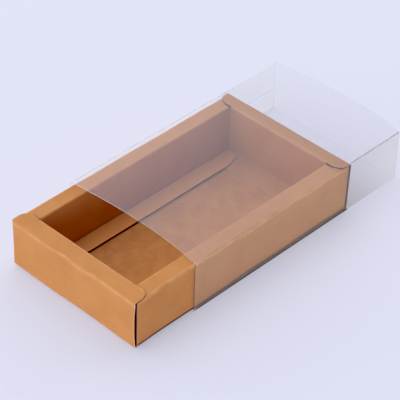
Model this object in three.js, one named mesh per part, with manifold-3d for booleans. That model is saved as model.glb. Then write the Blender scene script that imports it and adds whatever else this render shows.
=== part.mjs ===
// Sliding drawer gift box: a kraft board tray with rolled hollow walls in a clear film sleeve.
// Millimetres, +Z up. The origin is the centre of the sleeve's underside. The tray is drawn
// out of the sleeve towards -Y, and left and right are those of someone who faces +Y.
//
// The tray is one die-cut blank. Each wall rises from the base, rolls over a flat rim, comes
// down again as an inner wall and turns in as a floor flap. The sleeve is one folded film
// with a glued lap. Every panel between two creases is a solid of its own here.

import * as THREE from 'three';
import { mergeVertices } from 'three/addons/utils/BufferGeometryUtils.js';
import Module from 'manifold-3d';

// Tray, outside
const trayLength = 160;
const trayWidth = 90;
const trayHeight = 30;

// Board and its creases
const board = 0.5;
const bend = 0.3;

// Rims and their rounded ears
const rimWidth = 10;
const earRadius = 6.2;

// Side edges of the end walls, which are cut back in a shallow bow
const wallEdgeInset = 0.4;
const wallEdgeBow = 1.4;
const bowReachShare = 0.2;

// Corner tabs, folded from the side walls and tucked behind the end walls
const tabLength = 18;
const tabTaper = 3;
const tabSetback = 0.4;

// Floor flaps
const endFlapDepth = 12.4;
const endFlapTaper = 2.5;
const sideFlapWidth = 11.2;
const sideFlapEndWidth = 7.4;
const sideFlapEndLength = 14;

// Clearances inside the tray
const layGap = 0.05;
const cornerGap = 0.3;
const hingeGap = 0.1;
const flapEndGap = 0.5;

// Sleeve
const film = 0.2;
const filmBend = 0.3;
const sleeveLength = 158;
const topCrown = 4.2;
const lapWidth = 14.2;
const glue = 0.05;
const glueWidth = 8;
const glueEndMargin = 4;
const glueEdgeMargin = 2.5;

// How the tray sits in the sleeve
const sideClearance = 0.45;
const topClearance = 1.2;
const runningGap = 0.2;
const drawnOut = 41;

// Cutting and smoothness
const overrun = 1;
const weldDistance = 1e-6;
const creaseSteps = 5;
const crownSteps = 12;
const curveSteps = 16;

// Worked out from the sizes above
const fold = bend + board;
const filmFold = filmBend + film;
const halfLength = trayLength / 2;
const halfWidth = trayWidth / 2;
const openingHalfWidth = halfWidth - rimWidth;
const openingHalfLength = halfLength - rimWidth;
const sideRimTop = trayHeight - board - layGap;
const baseTop = board;
const endFlapBottom = baseTop + layGap;
const sideFlapBottom = endFlapBottom + board + layGap;
const tabFace = board + tabSetback;
const sideWallSpan = trayLength - 2 * (tabFace + fold);
const sideRimSpan = trayLength - 2 * (tabFace + board + cornerGap);
const endInnerSpan = 2 * (openingHalfWidth - cornerGap);
const sideFlapSpan = 2 * (openingHalfLength - flapEndGap);
const trayBottom = film + runningGap;
const trayCentre = trayLength / 2 - sleeveLength / 2 - drawnOut;
const sleeveHalfWidth = halfWidth + sideClearance + film;
const foldHeight = trayBottom + trayHeight + topClearance + film;

// The top panel leaves its folds at a slope, and bows up between them
const crownSlope = (2 * topCrown) / (sleeveHalfWidth - filmFold);
const crownAngle = Math.atan(crownSlope);
const filmCreaseRadius = filmBend + film / 2;
const crownHalfSpan = sleeveHalfWidth - film / 2 - filmCreaseRadius * (1 - Math.sin(crownAngle));
const crownFoot = foldHeight - filmFold + filmCreaseRadius * Math.cos(crownAngle);
const lapFace = sleeveHalfWidth - film - glue;

// Headings of a sheet that is drawn in section, in radians
const quarter = Math.PI / 2;
const RIGHTWARD = 0;
const UPWARD = quarter;
const LEFTWARD = Math.PI;
const DOWNWARD = -quarter;

const X = new THREE.Vector3(1, 0, 0);
const Y = new THREE.Vector3(0, 1, 0);
const Z = new THREE.Vector3(0, 0, 1);

const wasm = await Module();
wasm.setup();

// Finishes

const kraft = { color: 0xcb8f55, roughness: 0.9, metalness: 0 };
const clearFilm = { color: 0xe4e6f4, roughness: 0.12, metalness: 0, transparent: true, opacity: 0.3 };
const clearGlue = { color: 0xf0eedf, roughness: 0.3, metalness: 0, transparent: true, opacity: 0.5 };

function piece(name, geometry, finish) {
  const mesh = new THREE.Mesh(geometry, new THREE.MeshStandardMaterial(finish));
  mesh.name = name;
  return mesh;
}

// Solids

function toSolid(geometry) {
  const bare = geometry.clone();
  bare.deleteAttribute('normal');
  bare.deleteAttribute('uv');
  const merged = mergeVertices(bare, weldDistance);
  const vertProperties = new Float32Array(merged.attributes.position.array);
  const triVerts = new Uint32Array(merged.index.array);
  return new wasm.Manifold(new wasm.Mesh({ numProp: 3, vertProperties, triVerts }));
}

function toGeometry(solid) {
  const mesh = solid.getMesh();
  const geometry = new THREE.BufferGeometry();
  geometry.setAttribute('position', new THREE.BufferAttribute(new Float32Array(mesh.vertProperties), 3));
  geometry.setIndex(new THREE.BufferAttribute(new Uint32Array(mesh.triVerts), 1));
  const flat = geometry.toNonIndexed();
  flat.computeVertexNormals();
  return flat;
}

function common(first, second) {
  return toGeometry(toSolid(first).intersect(toSolid(second)));
}

function joined(first, second) {
  return toGeometry(toSolid(first).add(toSolid(second)));
}

// A section drawn in Y and Z, extruded along X and centred on X = 0
function alongX(section, span) {
  const geometry = new THREE.ExtrudeGeometry(section, { depth: span, bevelEnabled: false });
  geometry.translate(0, 0, -span / 2);
  return geometry.applyMatrix4(new THREE.Matrix4().makeBasis(Y, Z, X));
}

// A section drawn in X and Z, extruded along Y and centred on Y = 0
function alongY(section, span) {
  const geometry = new THREE.ExtrudeGeometry(section, { depth: span, bevelEnabled: false });
  geometry.translate(0, 0, -span / 2);
  return geometry.applyMatrix4(new THREE.Matrix4().makeBasis(X, Z, Y.clone().negate()));
}

// A plan drawn in X and Y, extruded upwards from low to high
function alongZ(plan, low, high) {
  const options = { depth: high - low, bevelEnabled: false, curveSegments: curveSteps };
  return new THREE.ExtrudeGeometry(plan, options).translate(0, 0, low);
}

// Outline of an evenly thick sheet: its middle line starts at a point, and each move is
// either a straight run or a turn through a crease, anticlockwise when positive.
function sheetOutline(thickness, innerRadius, start, heading, moves) {
  const half = thickness / 2;
  const radius = innerRadius + half;
  const leftSide = [];
  const rightSide = [];
  const position = start.clone();
  let angle = heading;
  const across = () => new THREE.Vector2(-Math.sin(angle), Math.cos(angle));
  const mark = () => {
    leftSide.push(position.clone().addScaledVector(across(), half));
    rightSide.push(position.clone().addScaledVector(across(), -half));
  };
  mark();
  for (const { run = 0, turn = 0 } of moves) {
    if (run > 0) {
      position.add(new THREE.Vector2(Math.cos(angle), Math.sin(angle)).multiplyScalar(run));
      mark();
    }
    if (turn !== 0) {
      const side = Math.sign(turn) * radius;
      const centre = position.clone().addScaledVector(across(), side);
      const entry = angle;
      for (let step = 1; step <= creaseSteps; step += 1) {
        angle = entry + (turn * step) / creaseSteps;
        position.copy(centre).addScaledVector(across(), -side);
        mark();
      }
    }
  }
  return new THREE.Shape([...leftSide, ...rightSide.reverse()]);
}

function boardOutline(start, heading, moves) {
  return sheetOutline(board, bend, start, heading, moves);
}

function filmOutline(start, heading, moves) {
  return sheetOutline(film, filmBend, start, heading, moves);
}

// The four sides of the tray are drawn alike: the side runs along X, its outer face looks
// towards -Y at a distance called reach from the tray's centre, and it is turned into place.

function outerWallSection(reach, top) {
  const start = new THREE.Vector2(fold - reach, board / 2);
  return boardOutline(start, LEFTWARD, [{ turn: -quarter }, { run: top - 2 * fold }]);
}

function rimSection(reach, top) {
  const start = new THREE.Vector2(board / 2 - reach, top - fold);
  return boardOutline(start, UPWARD, [
    { turn: -quarter },
    { run: rimWidth - 2 * fold },
    { turn: -quarter },
  ]);
}

function innerWallSection(reach, top, bottom) {
  const start = new THREE.Vector2(rimWidth - board / 2 - reach, top - fold);
  return boardOutline(start, DOWNWARD, [{ run: top - fold - bottom }]);
}

// End walls: front and back

// Seen from the front, the wall's side edges bow in between base and rim. A cubic curve
// reaches three quarters of the way to its two inner control points.
function endWallOutline() {
  const edge = halfWidth - wallEdgeInset;
  const pull = (wallEdgeBow * 4) / 3;
  const low = trayHeight * bowReachShare;
  const high = trayHeight - low;
  const outline = new THREE.Shape();
  outline.moveTo(-edge, 0);
  outline.lineTo(edge, 0);
  outline.bezierCurveTo(edge - pull, low, edge - pull, high, edge, trayHeight);
  outline.lineTo(-edge, trayHeight);
  outline.bezierCurveTo(pull - edge, high, pull - edge, low, -edge, 0);
  return outline;
}

function endOuterWall() {
  const sheet = alongX(outerWallSection(halfLength, trayHeight), trayWidth);
  const outline = new THREE.Shape(endWallOutline().getPoints(curveSteps));
  const cutter = alongY(outline, trayLength + 2 * overrun);
  return common(sheet, cutter);
}

// Plan of an end rim: the full width of the tray, with the two inner corners rounded as ears.
function endRimPlan() {
  const outer = -halfLength;
  const inner = rimWidth - halfLength;
  const plan = new THREE.Shape();
  plan.moveTo(-halfWidth, outer - overrun);
  plan.lineTo(halfWidth, outer - overrun);
  plan.lineTo(halfWidth, inner - earRadius);
  plan.absarc(halfWidth - earRadius, inner - earRadius, earRadius, 0, quarter, false);
  plan.lineTo(earRadius - halfWidth, inner);
  plan.absarc(earRadius - halfWidth, inner - earRadius, earRadius, quarter, LEFTWARD, false);
  return plan;
}

// The outer crease runs the full width, the inner one only between the side walls, and the
// flat ears beyond it lie on the side rims.
function endRim() {
  const start = new THREE.Vector2(board / 2 - halfLength, trayHeight - fold);
  const flatSection = boardOutline(start, UPWARD, [{ turn: -quarter }, { run: rimWidth - fold }]);
  const plan = alongZ(endRimPlan(), trayHeight - fold - overrun, trayHeight + overrun);
  const eared = common(alongX(flatSection, trayWidth), plan);
  const creased = alongX(rimSection(halfLength, trayHeight), endInnerSpan);
  return joined(eared, creased);
}

function endInnerWall() {
  const section = innerWallSection(halfLength, trayHeight, endFlapBottom + fold);
  return alongX(section, endInnerSpan);
}

function endFloorFlap() {
  const wallMiddle = rimWidth - board / 2 - halfLength;
  const start = new THREE.Vector2(wallMiddle, endFlapBottom + fold);
  const section = boardOutline(start, DOWNWARD, [{ turn: quarter }, { run: endFlapDepth - bend }]);
  const root = rimWidth - halfLength;
  const tip = root + endFlapDepth;
  const halfRoot = endInnerSpan / 2;
  const plan = new THREE.Shape();
  plan.moveTo(-halfRoot, root - board - overrun);
  plan.lineTo(halfRoot, root - board - overrun);
  plan.lineTo(halfRoot, root);
  plan.lineTo(halfRoot - endFlapTaper, tip + overrun);
  plan.lineTo(endFlapTaper - halfRoot, tip + overrun);
  plan.lineTo(-halfRoot, root);
  const cutter = alongZ(plan, 0, endFlapBottom + fold + overrun);
  return common(alongX(section, endInnerSpan), cutter);
}

function endSide(name) {
  const side = new THREE.Group();
  side.add(piece(`${name}_outer_wall`, endOuterWall(), kraft));
  side.add(piece(`${name}_rim`, endRim(), kraft));
  side.add(piece(`${name}_inner_wall`, endInnerWall(), kraft));
  side.add(piece(`${name}_floor_flap`, endFloorFlap(), kraft));
  return side;
}

// Side walls: left and right

// The tab leaves the side wall through an upright crease and narrows to its free end.
function cornerTab(end) {
  const crease = sideWallSpan / 2;
  const low = fold;
  const high = trayHeight - board - cornerGap;
  const start = new THREE.Vector2(end * crease, board / 2 - halfWidth);
  const heading = end > 0 ? RIGHTWARD : LEFTWARD;
  const plan = boardOutline(start, heading, [{ turn: end * quarter }, { run: tabLength - fold }]);
  const outer = -halfWidth - overrun;
  const shoulder = fold - halfWidth;
  const tip = tabLength - halfWidth;
  const face = new THREE.Shape();
  face.moveTo(outer, low);
  face.lineTo(shoulder, low);
  face.lineTo(tip, low + tabTaper);
  face.lineTo(tip, high - tabTaper);
  face.lineTo(shoulder, high);
  face.lineTo(outer, high);
  return common(alongZ(plan, low, high), alongX(face, trayLength + 2 * overrun));
}

// Plan of a side flap: straight along its root, with quarter ellipses at the free corners.
function sideFlapPlan(root) {
  const half = sideFlapSpan / 2;
  const shoulder = root + sideFlapWidth - sideFlapEndWidth;
  const middle = half - sideFlapEndLength;
  const plan = new THREE.Shape();
  plan.moveTo(-half, root - overrun);
  plan.lineTo(half, root - overrun);
  plan.lineTo(half, shoulder);
  plan.absellipse(middle, shoulder, sideFlapEndLength, sideFlapEndWidth, 0, quarter, false, 0);
  plan.absellipse(-middle, shoulder, sideFlapEndLength, sideFlapEndWidth, quarter, LEFTWARD, false, 0);
  return plan;
}

// The root is half round about the crease that the flap turns on.
function sideFloorFlap() {
  const wallFace = rimWidth - halfWidth;
  const radius = board / 2;
  const axis = wallFace + hingeGap + radius;
  const tip = wallFace + sideFlapWidth;
  const section = new THREE.Shape();
  section.moveTo(axis, sideFlapBottom);
  section.lineTo(tip, sideFlapBottom);
  section.lineTo(tip, sideFlapBottom + board);
  section.lineTo(axis, sideFlapBottom + board);
  section.absarc(axis, sideFlapBottom + radius, radius, quarter, -quarter, false);
  const plan = alongZ(sideFlapPlan(wallFace), 0, sideFlapBottom + board + overrun);
  return common(alongX(section, sideFlapSpan), plan);
}

function longSide(name, startEnd, farEnd) {
  const side = new THREE.Group();
  const inner = innerWallSection(halfWidth, sideRimTop, endFlapBottom);
  side.add(piece(`${name}_outer_wall`, alongX(outerWallSection(halfWidth, sideRimTop), sideWallSpan), kraft));
  side.add(piece(`${name}_rim`, alongX(rimSection(halfWidth, sideRimTop), sideRimSpan), kraft));
  side.add(piece(`${name}_inner_wall`, alongX(inner, sideRimSpan), kraft));
  side.add(piece(`${name}_floor_flap`, sideFloorFlap(), kraft));
  side.add(piece(`${startEnd}_${name}_corner_tab`, cornerTab(-1), kraft));
  side.add(piece(`${farEnd}_${name}_corner_tab`, cornerTab(1), kraft));
  return side;
}

// Tray

function basePanel() {
  const halfX = halfWidth - fold;
  const halfY = halfLength - fold;
  const plan = new THREE.Shape();
  plan.moveTo(-halfX, -halfY);
  plan.lineTo(halfX, -halfY);
  plan.lineTo(halfX, halfY);
  plan.lineTo(-halfX, halfY);
  return alongZ(plan, 0, baseTop);
}

function drawerTray() {
  const tray = new THREE.Group();
  tray.add(piece('base_panel', basePanel(), kraft));
  const front = endSide('front');
  const back = endSide('back');
  const right = longSide('right', 'front', 'back');
  const left = longSide('left', 'back', 'front');
  back.rotation.z = Math.PI;
  right.rotation.z = quarter;
  left.rotation.z = -quarter;
  tray.add(front, back, right, left);
  tray.position.set(0, trayCentre, trayBottom);
  return tray;
}

// Sleeve

function bottomPanelSection() {
  const start = new THREE.Vector2(filmFold - lapFace, film / 2);
  return filmOutline(start, RIGHTWARD, [{ run: lapFace + sleeveHalfWidth - 2 * filmFold }]);
}

// The film springs back a little from its folds, so the top panel is a shallow arch.
function crownedFilm() {
  const upperSide = [];
  const lowerSide = [];
  for (let step = 0; step <= crownSteps; step += 1) {
    const share = (2 * step) / crownSteps - 1;
    const rise = (crownHalfSpan * crownSlope * (1 - share * share)) / 2;
    const middle = new THREE.Vector2(share * crownHalfSpan, crownFoot + rise);
    const angle = -Math.atan(share * crownSlope);
    const across = new THREE.Vector2(-Math.sin(angle), Math.cos(angle)).multiplyScalar(film / 2);
    upperSide.push(middle.clone().add(across));
    lowerSide.push(middle.clone().sub(across));
  }
  return new THREE.Shape([...lowerSide, ...upperSide.reverse()]);
}

// The right panel has the crease to the bottom and the crease to the top.
function rightPanelSection() {
  const start = new THREE.Vector2(sleeveHalfWidth - filmFold, film / 2);
  return filmOutline(start, RIGHTWARD, [
    { turn: quarter },
    { run: foldHeight - 2 * filmFold },
    { turn: quarter - crownAngle },
  ]);
}

// The left panel hangs from the top and ends in a cut edge at the bottom, outside the lap.
function leftPanelSection() {
  const start = new THREE.Vector2(-crownHalfSpan, crownFoot);
  const moves = [{ turn: quarter - crownAngle }, { run: foldHeight - filmFold }];
  return filmOutline(start, LEFTWARD + crownAngle, moves);
}

// The lap turns up from the bottom panel inside the left panel.
function lapSection() {
  const start = new THREE.Vector2(filmFold - lapFace, film / 2);
  return filmOutline(start, LEFTWARD, [{ turn: -quarter }, { run: lapWidth - filmFold }]);
}

function seamGlue() {
  const top = lapWidth - glueEdgeMargin;
  const section = new THREE.Shape();
  section.moveTo(-lapFace - glue, top - glueWidth);
  section.lineTo(-lapFace, top - glueWidth);
  section.lineTo(-lapFace, top);
  section.lineTo(-lapFace - glue, top);
  return alongY(section, sleeveLength - 2 * glueEndMargin);
}

function filmSleeve() {
  const sleeve = new THREE.Group();
  sleeve.add(piece('sleeve_top_panel', alongY(crownedFilm(), sleeveLength), clearFilm));
  sleeve.add(piece('sleeve_bottom_panel', alongY(bottomPanelSection(), sleeveLength), clearFilm));
  sleeve.add(piece('sleeve_right_panel', alongY(rightPanelSection(), sleeveLength), clearFilm));
  sleeve.add(piece('sleeve_left_panel', alongY(leftPanelSection(), sleeveLength), clearFilm));
  sleeve.add(piece('sleeve_glue_lap', alongY(lapSection(), sleeveLength), clearFilm));
  sleeve.add(piece('sleeve_seam_glue', seamGlue(), clearGlue));
  return sleeve;
}

const giftBox = new THREE.Group();
giftBox.add(filmSleeve(), drawerTray());

export default giftBox;
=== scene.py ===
"""Sliding drawer gift box: a kraft board tray drawn part of the way out of a clear film sleeve.

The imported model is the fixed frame. Each panel of the tray, and the sleeve as the one sheet that
it is, are made here again as thin bent sheets with real creases, cut edges and finishes, in the
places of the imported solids. Metres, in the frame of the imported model.
"""

import logging
import math
from collections.abc import Callable, Sequence
from dataclasses import dataclass, field
from enum import Enum, IntEnum

import bmesh
import bpy
from mathutils import Matrix, Vector


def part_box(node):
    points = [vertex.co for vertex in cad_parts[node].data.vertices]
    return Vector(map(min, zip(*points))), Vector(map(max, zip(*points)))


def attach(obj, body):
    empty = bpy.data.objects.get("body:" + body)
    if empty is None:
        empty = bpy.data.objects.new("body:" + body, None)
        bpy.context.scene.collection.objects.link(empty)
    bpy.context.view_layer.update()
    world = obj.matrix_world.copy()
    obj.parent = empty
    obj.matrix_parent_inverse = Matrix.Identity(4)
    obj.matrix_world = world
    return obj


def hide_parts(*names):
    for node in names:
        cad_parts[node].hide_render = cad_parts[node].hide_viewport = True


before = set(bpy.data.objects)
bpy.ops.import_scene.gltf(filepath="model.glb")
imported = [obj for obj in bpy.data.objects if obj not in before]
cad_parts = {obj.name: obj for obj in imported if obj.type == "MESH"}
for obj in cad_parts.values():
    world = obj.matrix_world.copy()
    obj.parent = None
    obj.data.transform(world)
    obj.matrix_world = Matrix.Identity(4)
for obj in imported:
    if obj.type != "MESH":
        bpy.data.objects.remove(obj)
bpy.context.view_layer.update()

LOG = logging.getLogger("gift_box")

MM = 0.001
QUARTER = math.pi / 2
BEND_RADIUS = 0.3 * MM
BOARD_THICKNESS = 0.5 * MM
FILM_THICKNESS = 0.2 * MM
GLUE_THICKNESS = 0.05 * MM
FILM_CREASE_MARGIN = 0.3 * MM
SHARP_ANGLE = math.radians(35)

Triple = tuple[float, float, float]
Colour = Triple
Point = tuple[float, float]
Place = Callable[[float, float], Vector]
Mask = Callable[[float, float], float]


def clamp(value: float, low: float = 0.0, high: float = 1.0) -> float:
    """Returns the value held between two limits."""
    return max(low, min(high, value))


def eased(value: float, start: float, end: float) -> float:
    """Returns 0 before start and 1 after end, with a smooth rise between them.

    Args:
        value: The number to look up.
        start: Where the rise begins.
        end: Where the rise ends.

    Returns:
        The eased share, from 0 to 1.
    """
    share = clamp((value - start) / (end - start))
    return share * share * (3 - 2 * share)


def between(value: float, knots: Sequence[Point]) -> float:
    """Reads a value off a line through knots.

    Args:
        value: Where to read the line.
        knots: Pairs of place and value, in rising order of place.

    Returns:
        The value there, held at the end values outside the knots.
    """
    if value <= knots[0][0]:
        return knots[0][1]
    for (start, low), (end, high) in zip(knots, knots[1:]):
        if value <= end:
            return low + (high - low) * (value - start) / (end - start)
    return knots[-1][1]


def steps(start: float, end: float, pitch: float) -> list[float]:
    """Splits a stretch into equal steps.

    Args:
        start: First value.
        end: Last value.
        pitch: The widest step allowed.

    Returns:
        The values from start to end, both included.
    """
    count = max(1, math.ceil(abs(end - start) / pitch))
    return [start + (end - start) * i / count for i in range(count + 1)]


def arc(centre: Point, radii: Point, start: float, end: float, count: int = 14) -> list[Point]:
    """Returns points on a circle or ellipse.

    Args:
        centre: The arc's centre.
        radii: Its half widths along the two axes.
        start: First angle, in radians.
        end: Last angle, in radians.
        count: How many steps the arc takes.

    Returns:
        The points from start to end, both included.
    """
    points = []
    for i in range(count + 1):
        angle = start + (end - start) * i / count
        points.append((centre[0] + radii[0] * math.cos(angle), centre[1] + radii[1] * math.sin(angle)))
    return points


@dataclass(frozen=True)
class Wave:
    """A slow, uneven wave, by which board and wear wander.

    Args:
        run: How far the wave goes for each radian of its phase.
        sway: How much a second wave shifts that phase, in radians.
        sway_run: How far the second wave goes for each radian.
    """

    run: float
    sway: float
    sway_run: float

    def at(self, place: float, beside: float, phase: float = 0.0, sway_phase: float = 0.0) -> float:
        """Reads the wave.

        Args:
            place: The place along the wave.
            beside: The place along the second wave.
            phase: Shift of the wave, in radians.
            sway_phase: Shift of the second wave, in radians.

        Returns:
            Its height, from -1 to 1.
        """
        sway = self.sway * math.sin(beside / self.sway_run + sway_phase)
        return math.sin(place / self.run + phase + sway)


class Signal:
    """One output of a shader node, with which ordinary sums can be written."""

    def __init__(self, graph: "ShaderGraph", socket: bpy.types.NodeSocket) -> None:
        """Keeps the output and the graph it belongs to."""
        self.graph = graph
        self.socket = socket

    def __add__(self, other: "Signal | float") -> "Signal":
        """Returns the sum of two signals."""
        return self.graph.maths("ADD", self, other)

    __radd__ = __add__

    def __mul__(self, other: "Signal | float") -> "Signal":
        """Returns the product of two signals."""
        return self.graph.maths("MULTIPLY", self, other)

    __rmul__ = __mul__

    def __rsub__(self, other: float) -> "Signal":
        """Returns a number less this signal."""
        return self.graph.maths("SUBTRACT", other, self)

    def __pow__(self, other: float) -> "Signal":
        """Returns this signal raised to a power."""
        return self.graph.maths("POWER", self, other)


Feed = Signal | float | str | tuple


class ShaderGraph:
    """The node tree of one material or world."""

    def __init__(self, owner: bpy.types.Material | bpy.types.World) -> None:
        """Starts an empty tree on its owner.

        Args:
            owner: The material or world that the nodes belong to.
        """
        owner.use_nodes = True
        self.tree = owner.node_tree
        self.tree.nodes.clear()

    def node(self, kind: str, settings: dict | None = None, inputs: dict | None = None) -> bpy.types.Node:
        """Adds a node.

        Args:
            kind: The node's type.
            settings: Its properties, which are set first.
            inputs: Values or links of its sockets, by name or number.

        Returns:
            The new node.
        """
        made = self.tree.nodes.new(kind)
        for key, value in (settings or {}).items():
            setattr(made, key, value)
        for key, value in (inputs or {}).items():
            socket = made.inputs[key]
            if isinstance(value, Signal):
                self.tree.links.new(value.socket, socket)
            elif socket.type == "RGBA" and len(value) == 3:
                socket.default_value = (*value, 1.0)
            else:
                socket.default_value = value
        return made

    def signal(
        self, kind: str, output: str | int, settings: dict | None = None, inputs: dict | None = None
    ) -> Signal:
        """Adds a node and takes one of its outputs.

        Args:
            kind: The node's type.
            output: The output's name or number.
            settings: The node's properties.
            inputs: Values or links of its sockets.

        Returns:
            The output as a signal.
        """
        return Signal(self, self.node(kind, settings, inputs).outputs[output])

    def maths(self, operation: str, first: Feed, second: Feed) -> Signal:
        """Returns a Math node's result for two values."""
        return self.signal("ShaderNodeMath", 0, {"operation": operation}, {0: first, 1: second})

    def attribute(self, name: str, output: str = "Fac") -> Signal:
        """Returns a value that the mesh carries."""
        return self.signal("ShaderNodeAttribute", output, {"attribute_name": name})

    def stretched(self, vector: Signal, scale: Triple, turn: float = 0.0) -> Signal:
        """Returns a place scaled unevenly.

        Args:
            vector: The place.
            scale: Factor along each axis.
            turn: Turn about the third axis first, in radians.

        Returns:
            The new place.
        """
        inputs = {"Vector": vector, "Rotation": (0.0, 0.0, turn), "Scale": scale}
        return self.signal("ShaderNodeMapping", "Vector", {"vector_type": "POINT"}, inputs)

    def noise(self, vector: Signal, scale: float, detail: float = 2.0, rough: float = 0.5) -> Signal:
        """Returns soft noise from 0 to 1.

        Args:
            vector: Where to read it.
            scale: Lumps per metre.
            detail: Octaves of finer noise.
            rough: Share that each finer octave keeps.

        Returns:
            The noise as a signal.
        """
        inputs = {"Vector": vector, "Scale": scale, "Detail": detail, "Roughness": rough}
        return self.signal("ShaderNodeTexNoise", 0, None, inputs)

    def rise(self, value: Signal, start: float, end: float) -> Signal:
        """Returns 0 before start and 1 after end of a value, eased between."""
        inputs = {"Value": value, "From Min": start, "From Max": end}
        return self.signal("ShaderNodeMapRange", 0, {"interpolation_type": "SMOOTHSTEP"}, inputs)

    def blend(self, share: Feed, first: Feed, second: Feed) -> Signal:
        """Returns a colour between two, by a share."""
        return self.signal("ShaderNodeMix", 2, {"data_type": "RGBA"}, {0: share, 6: first, 7: second})

    def surface(self, **looks: Feed) -> Signal:
        """Adds a Principled surface.

        Args:
            looks: Its sockets, in lower case with underscores for spaces.

        Returns:
            The surface.
        """
        names = {key: key.replace("_", " ").title().replace("Ior", "IOR") for key in looks}
        inputs = {names[key]: value for key, value in looks.items()}
        return self.signal("ShaderNodeBsdfPrincipled", 0, None, inputs)

    def mixed(self, share: Feed, first: Signal, second: Signal) -> Signal:
        """Returns a surface between two, by a share."""
        return self.signal("ShaderNodeMixShader", 0, None, {0: share, 1: first, 2: second})

    def bump(self, height: Signal, depth: float, strength: float = 1.0) -> Signal:
        """Returns a normal for a height signal, whose full range is depth metres."""
        inputs = {"Height": height, "Distance": depth, "Strength": strength}
        return self.signal("ShaderNodeBump", 0, None, inputs)

    def finish(self, surface: Signal) -> None:
        """Sends a surface to the output."""
        self.node("ShaderNodeOutputMaterial", None, {"Surface": surface})


@dataclass(frozen=True)
class KraftFinish:
    """Uncoated brown board: clouds, fibres, dark specks, creases pale from rubbing plus a painted highlight,
    painted shade and painted light.
    """

    name: str = "kraft_face"
    colour: Colour = (0.573, 0.241, 0.06)
    dark: Colour = (0.482, 0.178, 0.04)
    # Pale of the creases, from rubbing, with a painted highlight
    rub: Colour = (0.82, 0.47, 0.23)
    pale: Colour = (0.66, 0.34, 0.135)
    speck: Colour = (0.17, 0.07, 0.022)
    # hollow is the colour of painted shade, where the board is closed in
    hollow: Colour = (0.09, 0.014, 0.002)
    fresh: Colour = (0.8, 0.35, 0.1)
    stain: Colour = (0.36, 0.12, 0.025)
    cloud_share: float = 0.5
    grain_share: float = 0.22
    light_fibre_share: float = 0.28
    dark_fibre_share: float = 0.3
    speck_share: float = 0.7
    rub_share: float = 0.34
    cloud_scale: float = 55.0
    grain_scale: float = 2400.0
    light_fibre_scale: float = 3600.0
    dark_fibre_scale: float = 3300.0
    speck_scale: float = 620.0
    rub_scale: float = 130.0
    patch_scale: float = 150.0
    cloud_span: Point = (0.35, 0.7)
    grain_span: Point = (0.4, 0.8)
    light_fibre_span: Point = (0.64, 0.74)
    dark_fibre_span: Point = (0.66, 0.75)
    speck_span: Point = (0.71, 0.77)
    rub_span: Point = (0.25, 0.6)
    patch_span: Point = (0.4, 0.62)
    grain_stretch: Triple = (1.0, 0.45, 1.0)
    light_fibre_stretch: Triple = (1.0, 0.16, 1.0)
    dark_fibre_stretch: Triple = (0.16, 1.0, 1.0)
    light_fibre_turn: float = 0.5
    dark_fibre_turn: float = 0.3
    rub_power: float = 2.0
    lining_depth: float = 0.1 * MM
    grain_relief: float = 0.6
    fibre_relief: float = 0.4
    relief_depth: float = 0.04 * MM
    relief_strength: float = 0.5
    roughness: float = 0.8
    grain_roughness: float = 0.12
    ior: float = 1.6

    def material(self) -> bpy.types.Material:
        """Makes the material.

        Returns:
            The finished material.
        """
        made = bpy.data.materials.new(self.name)
        graph = ShaderGraph(made)
        blank = graph.attribute("blank", "Vector")
        clouds = graph.noise(blank, self.cloud_scale, 4.0, 0.6)
        grain = graph.noise(graph.stretched(blank, self.grain_stretch), self.grain_scale, 3.0, 0.6)
        along_light = graph.stretched(blank, self.light_fibre_stretch, self.light_fibre_turn)
        light_fibres = graph.noise(along_light, self.light_fibre_scale, 1.0)
        along_dark = graph.stretched(blank, self.dark_fibre_stretch, self.dark_fibre_turn)
        dark_fibres = graph.noise(along_dark, self.dark_fibre_scale, 1.0)
        specks = graph.noise(blank, self.speck_scale, 2.0, 0.7)
        tone = graph.blend(graph.rise(clouds, *self.cloud_span) * self.cloud_share, self.colour, self.dark)
        layers = (
            (grain, self.grain_span, self.grain_share, self.pale),
            (light_fibres, self.light_fibre_span, self.light_fibre_share, self.pale),
            (dark_fibres, self.dark_fibre_span, self.dark_fibre_share, self.dark),
            (specks, self.speck_span, self.speck_share, self.speck),
        )
        for signal, span, share, colour in layers:
            tone = graph.blend(graph.rise(signal, *span) * share, tone, colour)
        uneven = graph.rise(graph.noise(blank, self.rub_scale, 3.0), *self.rub_span)
        # Creases pale from rubbing, plus a painted highlight along the folds
        rubbed = graph.attribute("crease") ** self.rub_power * uneven
        tone = graph.blend(rubbed * self.rub_share, tone, self.rub)
        # Painted light: the floor flaps are lightened as if more light reached them
        tone = graph.blend(graph.attribute("fresh"), tone, self.fresh)
        patches = graph.rise(graph.noise(blank, self.patch_scale, 3.0, 0.6), *self.patch_span)
        tone = graph.blend(graph.attribute("mottled") * patches, tone, self.stain)
        # Painted shade: the shade mask, and the back wall's inner face near its side edges, take the hollow
        # colour
        level = graph.signal("ShaderNodeSeparateXYZ", "Z", None, {0: blank})
        lining = graph.attribute("lining") * (1 - graph.rise(level, -self.lining_depth, 0.0))
        tone = graph.blend(graph.attribute("shade") + lining, tone, self.hollow)
        relief = grain * self.grain_relief + light_fibres * self.fibre_relief
        look = graph.surface(
            base_color=tone,
            roughness=self.roughness + self.grain_roughness * grain,
            ior=self.ior,
            normal=graph.bump(relief, self.relief_depth, self.relief_strength),
        )
        graph.finish(look)
        return made


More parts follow.
